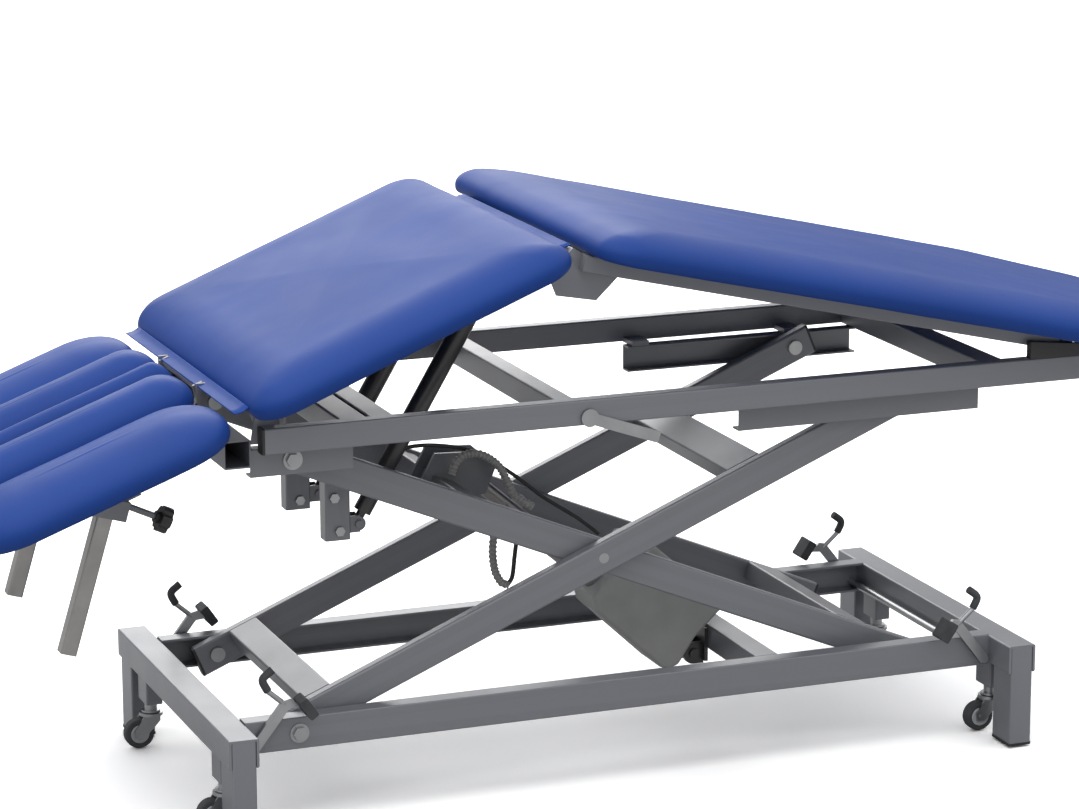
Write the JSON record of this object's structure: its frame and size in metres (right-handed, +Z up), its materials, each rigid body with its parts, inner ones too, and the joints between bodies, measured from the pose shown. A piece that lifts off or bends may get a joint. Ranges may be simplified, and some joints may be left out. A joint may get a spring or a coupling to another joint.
{
  "type": "medical exam table",
  "caption": "Scissor-lift examination table on pedal-lowered castors, with a folding padded top, drop-down head section and adjustable armrests.",
  "frame": {"origin": "centre of the base on the floor", "axes": "+X from the head end to the foot end, +Y across the table to the far side, +Z up"},
  "size_m": [2.104, 0.72, 0.9035],
  "materials": {
    "frame_paint": "satin silver-grey powder coat",
    "black_plastic": "moulded black plastic",
    "black_metal": "black paint",
    "zinc": "bright zinc plate",
    "steel": "brushed",
    "tread": "matt rubber",
    "roller_nylon": "nylon",
    "motor_plastic": "warm grey moulded housing",
    "motor_metal": "satin",
    "vinyl": "smooth royal-blue upholstery vinyl"
  },
  "bodies": {
    "base": {"base_rails": "frame_paint", "base_crossbeams": "frame_paint", "corner_legs": "frame_paint", "leg_glides": "black_plastic", "castor_sleeves": "frame_paint", "base_cross_tube": "frame_paint", "base_pivot_bolts": "zinc", "actuator_clevis": "black_metal"},
    "pedal_head": {"pedal_head_frame": "zinc", "pedal_head_pads": "tread"},
    "pedal_foot": {"pedal_foot_frame": "zinc", "pedal_foot_pads": "tread"},
    "stems_head": {"castor_stems_head": "zinc"},
    "stems_foot": {"castor_stems_foot": "zinc"},
    "arms_a": {"arms_a": "frame_paint", "arm_a_caps": "black_plastic", "arm_a_cross_tubes": "frame_paint"},
    "arms_b": {"arms_b": "frame_paint", "arm_b_caps": "black_plastic", "arm_b_upper_tube": "frame_paint", "arm_b_lower_tube": "frame_paint", "centre_pivot_pins": "zinc"},
    "roller_a": {"rollers_a": "roller_nylon"},
    "roller_b": {"rollers_b": "roller_nylon"},
    "actuator": {"actuator_cover": "motor_plastic", "actuator_motor": "motor_metal", "actuator_tube": "motor_metal"},
    "actuator_rod": {"actuator_rod": "steel"},
    "top_frame": {"top_rails": "frame_paint", "top_cross_tubes": "frame_paint", "roller_channels": "frame_paint", "top_rail_caps": "black_plastic", "strut_posts": "frame_paint", "top_frame_bolts": "zinc"},
    "lever": {"release_lever": "zinc"},
    "struts": {"strut_cylinders": "black_metal"},
    "strut_covers": {"strut_covers": "black_metal"},
    "mid": {"mid_frame": "frame_paint", "mid_cushion": "vinyl"},
    "leg": {"leg_frame": "frame_paint", "leg_cushion": "vinyl"},
    "slide_blocks": {"leg_slide_blocks": "black_plastic"},
    "head": {"head_frame": "frame_paint", "head_pad_near": "vinyl", "head_pad_far": "vinyl", "head_pad_centre": "vinyl"},
    "armrest_near": {"armrest_pad_near": "vinyl", "armrest_post_near": "steel"},
    "armrest_far": {"armrest_pad_far": "vinyl", "armrest_post_far": "steel"},
    "knob_near": {"star_knob_near": "black_plastic"},
    "knob_far": {"star_knob_far": "black_plastic"},
    "fork_head_near": {"castor_fork_head_near": "zinc"},
    "wheel_head_near": {"castor_wheel_head_near": "tread"},
    "fork_head_far": {"castor_fork_head_far": "zinc"},
    "wheel_head_far": {"castor_wheel_head_far": "tread"},
    "fork_foot_near": {"castor_fork_foot_near": "zinc"},
    "wheel_foot_near": {"castor_wheel_foot_near": "tread"},
    "fork_foot_far": {"castor_fork_foot_far": "zinc"},
    "wheel_foot_far": {"castor_wheel_foot_far": "tread"}
  },
  "joints": [
    {"name": "lift", "type": "hinge", "parent": "base", "child": "arms_a", "pos_m": [-0.538, 0, 0.1475], "axis": [0, -1, 0], "range_deg": [-12, 13.5]},
    {"name": "scissor_centre", "type": "hinge", "parent": "arms_a", "child": "arms_b", "pos_m": [-0.03125, 0, 0.3574], "axis": [0, 1, 0], "range_deg": [-24.1, 27.1]},
    {"name": "top_pivot", "type": "hinge", "parent": "arms_b", "child": "top_frame", "pos_m": [-0.538, 0, 0.5673], "axis": [0, -1, 0], "range_deg": [-12.1, 13.6]},
    {"name": "roller_a_spin", "type": "hinge", "parent": "arms_a", "child": "roller_a", "pos_m": [0.4755, 0, 0.5673], "axis": [0, 1, 0], "continuous": true},
    {"name": "roller_b_spin", "type": "hinge", "parent": "arms_b", "child": "roller_b", "pos_m": [0.4755, 0, 0.1475], "axis": [0, 1, 0], "continuous": true},
    {"name": "actuator_swing", "type": "hinge", "parent": "base", "child": "actuator", "pos_m": [0.204, 0, 0.124], "axis": [0, 1, 0], "range_deg": [-9.5, 10.7]},
    {"name": "actuator_stroke", "type": "slide", "parent": "actuator", "child": "actuator_rod", "axis": [-0.7556, 0, 0.655], "range_m": [-0.1025, 0.1155]},
    {"name": "mid_tilt", "type": "hinge", "parent": "top_frame", "child": "mid", "pos_m": [-0.585, 0, 0.64], "axis": [0, -1, 0], "range_deg": [-22, 0]},
    {"name": "leg_fold", "type": "hinge", "parent": "mid", "child": "leg", "pos_m": [-0.103, 0, 0.838], "axis": [0, 1, 0], "range_deg": [-35.3, 0.1]},
    {"name": "slide_block_pivot", "type": "hinge", "parent": "leg", "child": "slide_blocks", "pos_m": [0.73, 0, 0.6477], "axis": [0, -1, 0], "range_deg": [-13.3, 0.1]},
    {"name": "strut_swing", "type": "hinge", "parent": "top_frame", "child": "struts", "pos_m": [-0.396, 0, 0.425], "axis": [0, -1, 0], "range_deg": [-19.12, 0.1]},
    {"name": "strut_stroke", "type": "slide", "parent": "struts", "child": "strut_covers", "axis": [0.5134, 0, 0.8582], "range_m": [-0.1093, 0.0005]},
    {"name": "head_tilt", "type": "hinge", "parent": "top_frame", "child": "head", "pos_m": [-0.638, 0, 0.655], "axis": [0, 1, 0], "range_deg": [-10, 20]},
    {"name": "release_lever", "type": "hinge", "parent": "top_frame", "child": "lever", "pos_m": [-0.083, -0.28, 0.6], "axis": [0, -1, 0], "range_deg": [0, 20], "stiffness_Nm_per_rad": 1.5, "springref_deg": -8.59},
    {"name": "armrest_near_height", "type": "slide", "parent": "head", "child": "armrest_near", "axis": [0.289, 0, 0.9573], "range_m": [-0.012, 0.04]},
    {"name": "knob_near_turn", "type": "hinge", "parent": "head", "child": "knob_near", "pos_m": [-0.72, -0.146, 0.4751], "axis": [0.9031, 0, -0.4294], "continuous": true},
    {"name": "armrest_far_height", "type": "slide", "parent": "head", "child": "armrest_far", "axis": [0.289, 0, 0.9573], "range_m": [-0.012, 0.04]},
    {"name": "knob_far_turn", "type": "hinge", "parent": "head", "child": "knob_far", "pos_m": [-0.72, 0.146, 0.4751], "axis": [0.9031, 0, -0.4294], "continuous": true},
    {"name": "pedal_head_press", "type": "hinge", "parent": "base", "child": "pedal_head", "pos_m": [-0.611, 0, 0.134], "axis": [0, 1, 0], "range_deg": [0, 20]},
    {"name": "castor_head_drop", "type": "slide", "parent": "base", "child": "stems_head", "axis": [0, 0, -1], "range_m": [-0.0002, 0.0132]},
    {"name": "swivel_head_near", "type": "hinge", "parent": "stems_head", "child": "fork_head_near", "pos_m": [-0.64525, -0.208, 0.06], "axis": [0, 0, 1], "continuous": true},
    {"name": "wheel_head_near_spin", "type": "hinge", "parent": "fork_head_near", "child": "wheel_head_near", "pos_m": [-0.66625, -0.208, 0.0255], "axis": [0, 1, 0], "continuous": true},
    {"name": "swivel_head_far", "type": "hinge", "parent": "stems_head", "child": "fork_head_far", "pos_m": [-0.64525, 0.208, 0.06], "axis": [0, 0, 1], "continuous": true},
    {"name": "wheel_head_far_spin", "type": "hinge", "parent": "fork_head_far", "child": "wheel_head_far", "pos_m": [-0.66625, 0.208, 0.0255], "axis": [0, 1, 0], "continuous": true},
    {"name": "pedal_foot_press", "type": "hinge", "parent": "base", "child": "pedal_foot", "pos_m": [0.611, 0, 0.134], "axis": [0, -1, 0], "range_deg": [0, 20]},
    {"name": "castor_foot_drop", "type": "slide", "parent": "base", "child": "stems_foot", "axis": [0, 0, -1], "range_m": [-0.0002, 0.0132]},
    {"name": "swivel_foot_near", "type": "hinge", "parent": "stems_foot", "child": "fork_foot_near", "pos_m": [0.64525, -0.208, 0.06], "axis": [0, 0, 1], "continuous": true},
    {"name": "wheel_foot_near_spin", "type": "hinge", "parent": "fork_foot_near", "child": "wheel_foot_near", "pos_m": [0.62425, -0.208, 0.0255], "axis": [0, 1, 0], "continuous": true},
    {"name": "swivel_foot_far", "type": "hinge", "parent": "stems_foot", "child": "fork_foot_far", "pos_m": [0.64525, 0.208, 0.06], "axis": [0, 0, 1], "continuous": true},
    {"name": "wheel_foot_far_spin", "type": "hinge", "parent": "fork_foot_far", "child": "wheel_foot_far", "pos_m": [0.62425, 0.208, 0.0255], "axis": [0, 1, 0], "continuous": true}
  ],
  "couplings": [
    {"joint": "scissor_centre", "follows": "lift", "ratio": 2},
    {"joint": "top_pivot", "follows": "lift", "ratio": 1},
    {"joint": "actuator_swing", "follows": "lift", "ratio": 0.78},
    {"joint": "actuator_stroke", "follows": "lift", "m_per_rad": 0.48701},
    {"joint": "leg_fold", "follows": "mid_tilt", "ratio": 1.599},
    {"joint": "slide_block_pivot", "follows": "mid_tilt", "ratio": 0.599},
    {"joint": "strut_swing", "follows": "mid_tilt", "ratio": 0.86},
    {"joint": "strut_stroke", "follows": "mid_tilt", "m_per_rad": 0.282},
    {"joint": "castor_head_drop", "follows": "pedal_head_press", "m_per_rad": 0.037242},
    {"joint": "castor_foot_drop", "follows": "pedal_foot_press", "m_per_rad": 0.037242}
  ]
}
